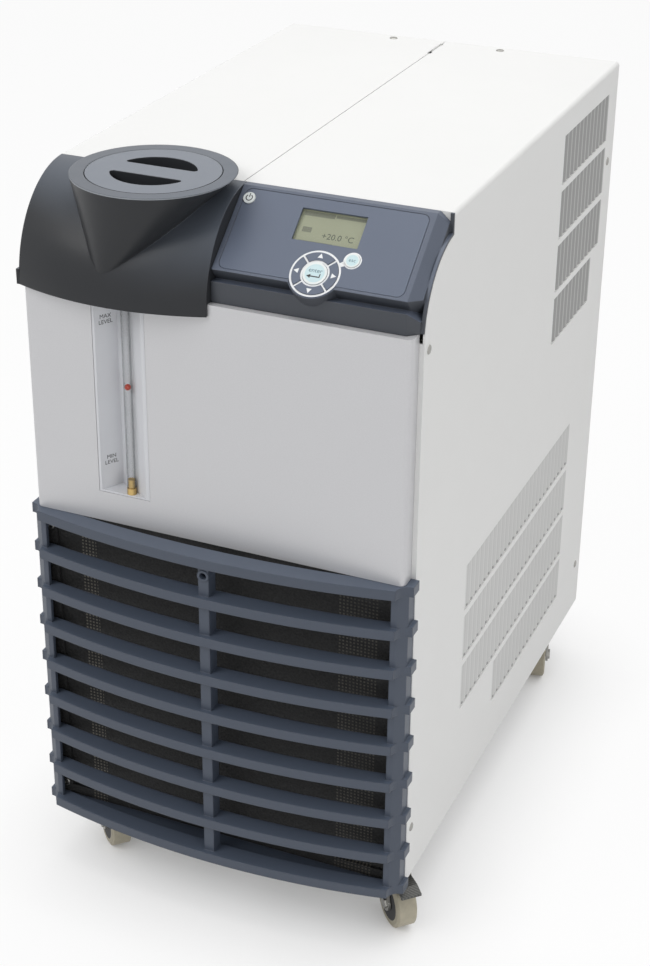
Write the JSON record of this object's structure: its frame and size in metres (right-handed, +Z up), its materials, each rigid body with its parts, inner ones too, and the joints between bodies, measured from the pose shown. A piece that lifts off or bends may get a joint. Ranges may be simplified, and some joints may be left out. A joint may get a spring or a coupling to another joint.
{
  "type": "recirculating chiller",
  "caption": "Floor-standing recirculating chiller: louvred steel cabinet on braked casters, filler cap, level gauge, sloping control desk and bowed intake grille.",
  "frame": {"origin": "centre of the overall box in plan, at the floor under the casters", "axes": "+Z up, front with the grille and control desk towards -Y, +X to the right seen from the front"},
  "size_m": [0.3876, 0.6223, 0.7045],
  "materials": {
    "white_enamel": "satin powder coat",
    "satin_metal": "satin",
    "cover_grey": "fine texture",
    "console_grey": "fine texture",
    "overlay_grey": "satin film",
    "grille_grey": "fine texture",
    "white_plastic": "satin",
    "clear_plastic": "clear",
    "screen": "backlit panel",
    "key_grey": "satin",
    "filter_black": "open cell",
    "zinc": "zinc plated",
    "brass": "machined",
    "natural_plastic": "natural",
    "float_red": "gloss",
    "seal_rubber": "matte",
    "tread_grey": "matte",
    "compressor_black": "satin paint",
    "core_metal": "mill",
    "copper": "drawn tube",
    "hose_black": "matte",
    "dark_plastic": "satin"
  },
  "bodies": {
    "cabinet": {"base_pan": "zinc", "front_bulkhead": "white_enamel", "left_wrap": "white_enamel", "right_wrap": "white_enamel", "rear_panel": "white_enamel", "front_panel": "satin_metal", "filler_cover": "cover_grey", "console_housing": "console_grey", "console_overlay": "overlay_grey", "display_module": "screen", "display_window": "clear_plastic", "grille": "grille_grey", "air_filter": "filter_black", "panel_screws": "zinc", "gauge_channel": "white_plastic", "sight_tube": "clear_plastic", "gauge_fitting": "brass", "reservoir": "natural_plastic", "compressor": "compressor_black", "compressor_grommets": "seal_rubber", "condenser": "core_metal", "fan_shroud": "zinc", "fan_motor": "dark_plastic", "evaporator": "core_metal", "pump": "brass", "pump_motor": "compressor_black", "coolant_lines": "hose_black", "refrigerant_lines": "copper", "electrical_box": "zinc", "process_ports": "brass", "power_inlet": "dark_plastic", "caster_mounts": "zinc"},
    "cap_lift": {"cap_seal": "seal_rubber"},
    "cap": {"filler_cap": "cover_grey"},
    "float": {"float_ball": "float_red"},
    "fan": {"fan": "dark_plastic"},
    "inlet_switch": {"inlet_switch": "dark_plastic"},
    "power_key": {"power_key": "key_grey"},
    "up_key": {"up_key": "key_grey"},
    "down_key": {"down_key": "key_grey"},
    "left_key": {"left_key": "key_grey"},
    "right_key": {"right_key": "key_grey"},
    "enter_key": {"enter_key": "key_grey"},
    "escape_key": {"escape_key": "key_grey"},
    "front_right_caster": {"front_right_fork": "zinc", "front_right_axle": "zinc"},
    "front_right_wheel": {"front_right_wheel": "tread_grey"},
    "front_right_brake": {"front_right_brake_pedal": "zinc"},
    "front_left_caster": {"front_left_fork": "zinc", "front_left_axle": "zinc"},
    "front_left_wheel": {"front_left_wheel": "tread_grey"},
    "front_left_brake": {"front_left_brake_pedal": "zinc"},
    "rear_right_caster": {"rear_right_fork": "zinc", "rear_right_axle": "zinc"},
    "rear_right_wheel": {"rear_right_wheel": "tread_grey"},
    "rear_right_brake": {"rear_right_brake_pedal": "zinc"},
    "rear_left_caster": {"rear_left_fork": "zinc", "rear_left_axle": "zinc"},
    "rear_left_wheel": {"rear_left_wheel": "tread_grey"},
    "rear_left_brake": {"rear_left_brake_pedal": "zinc"}
  },
  "joints": [
    {"name": "cap_pull", "type": "slide", "parent": "cabinet", "child": "cap_lift", "axis": [0, 0, 1], "range_m": [0, 0.08]},
    {"name": "cap_turn", "type": "hinge", "parent": "cap_lift", "child": "cap", "pos_m": [-0.0668, -0.24463, 0.7], "axis": [0, 0, 1], "range_deg": [0, 90]},
    {"name": "float_rise", "type": "slide", "parent": "cabinet", "child": "float", "axis": [0, 0, 1], "range_m": [-0.078, 0.06], "stiffness_N_per_m": 0.6},
    {"name": "fan_spin", "type": "hinge", "parent": "cabinet", "child": "fan", "pos_m": [0, -0.19962, 0.222], "axis": [0, 1, 0], "continuous": true},
    {"name": "inlet_rocker", "type": "hinge", "parent": "cabinet", "child": "inlet_switch", "pos_m": [0.105, 0.27887, 0.17], "axis": [1, 0, 0], "range_deg": [-14, 0]},
    {"name": "power_key_press", "type": "slide", "parent": "cabinet", "child": "power_key", "axis": [0, 0.6336, -0.7737], "range_m": [0, 0.0007], "stiffness_N_per_m": 800, "springref_m": -0.0002},
    {"name": "up_key_press", "type": "slide", "parent": "cabinet", "child": "up_key", "axis": [0, 0.6336, -0.7737], "range_m": [0, 0.0007], "stiffness_N_per_m": 800, "springref_m": -0.0002},
    {"name": "down_key_press", "type": "slide", "parent": "cabinet", "child": "down_key", "axis": [0, 0.6336, -0.7737], "range_m": [0, 0.0007], "stiffness_N_per_m": 800, "springref_m": -0.0002},
    {"name": "left_key_press", "type": "slide", "parent": "cabinet", "child": "left_key", "axis": [0, 0.6336, -0.7737], "range_m": [0, 0.0007], "stiffness_N_per_m": 800, "springref_m": -0.0002},
    {"name": "right_key_press", "type": "slide", "parent": "cabinet", "child": "right_key", "axis": [0, 0.6336, -0.7737], "range_m": [0, 0.0007], "stiffness_N_per_m": 800, "springref_m": -0.0002},
    {"name": "enter_key_press", "type": "slide", "parent": "cabinet", "child": "enter_key", "axis": [0, 0.6336, -0.7737], "range_m": [0, 0.0007], "stiffness_N_per_m": 800, "springref_m": -0.0002},
    {"name": "escape_key_press", "type": "slide", "parent": "cabinet", "child": "escape_key", "axis": [0, 0.6336, -0.7737], "range_m": [0, 0.0007], "stiffness_N_per_m": 800, "springref_m": -0.0002},
    {"name": "front_right_swivel", "type": "hinge", "parent": "cabinet", "child": "front_right_caster", "pos_m": [0.15, -0.22662, 0.06], "axis": [0, 0, 1], "continuous": true},
    {"name": "front_right_roll", "type": "hinge", "parent": "front_right_caster", "child": "front_right_wheel", "pos_m": [0.16556, -0.24218, 0.025], "axis": [0.7071, 0.7071, 0], "continuous": true},
    {"name": "front_right_brake_press", "type": "hinge", "parent": "front_right_caster", "child": "front_right_brake", "pos_m": [0.15848, -0.23511, 0.0539], "axis": [0.7071, 0.7071, 0], "range_deg": [0, 12]},
    {"name": "front_left_swivel", "type": "hinge", "parent": "cabinet", "child": "front_left_caster", "pos_m": [-0.15, -0.22662, 0.06], "axis": [0, 0, 1], "continuous": true},
    {"name": "front_left_roll", "type": "hinge", "parent": "front_left_caster", "child": "front_left_wheel", "pos_m": [-0.13444, -0.24218, 0.025], "axis": [0.7071, 0.7071, 0], "continuous": true},
    {"name": "front_left_brake_press", "type": "hinge", "parent": "front_left_caster", "child": "front_left_brake", "pos_m": [-0.14152, -0.23511, 0.0539], "axis": [0.7071, 0.7071, 0], "range_deg": [0, 12]},
    {"name": "rear_right_swivel", "type": "hinge", "parent": "cabinet", "child": "rear_right_caster", "pos_m": [0.15, 0.23838, 0.06], "axis": [0, 0, 1], "continuous": true},
    {"name": "rear_right_roll", "type": "hinge", "parent": "rear_right_caster", "child": "rear_right_wheel", "pos_m": [0.15606, 0.21723, 0.025], "axis": [0.9613, 0.2756, 0], "continuous": true},
    {"name": "rear_right_brake_press", "type": "hinge", "parent": "rear_right_caster", "child": "rear_right_brake", "pos_m": [0.15331, 0.22684, 0.0539], "axis": [0.9613, 0.2756, 0], "range_deg": [0, 12]},
    {"name": "rear_left_swivel", "type": "hinge", "parent": "cabinet", "child": "rear_left_caster", "pos_m": [-0.15, 0.23838, 0.06], "axis": [0, 0, 1], "continuous": true},
    {"name": "rear_left_roll", "type": "hinge", "parent": "rear_left_caster", "child": "rear_left_wheel", "pos_m": [-0.16556, 0.22282, 0.025], "axis": [0.7071, -0.7071, 0], "continuous": true},
    {"name": "rear_left_brake_press", "type": "hinge", "parent": "rear_left_caster", "child": "rear_left_brake", "pos_m": [-0.15848, 0.22989, 0.0539], "axis": [0.7071, -0.7071, 0], "range_deg": [0, 12]}
  ]
}
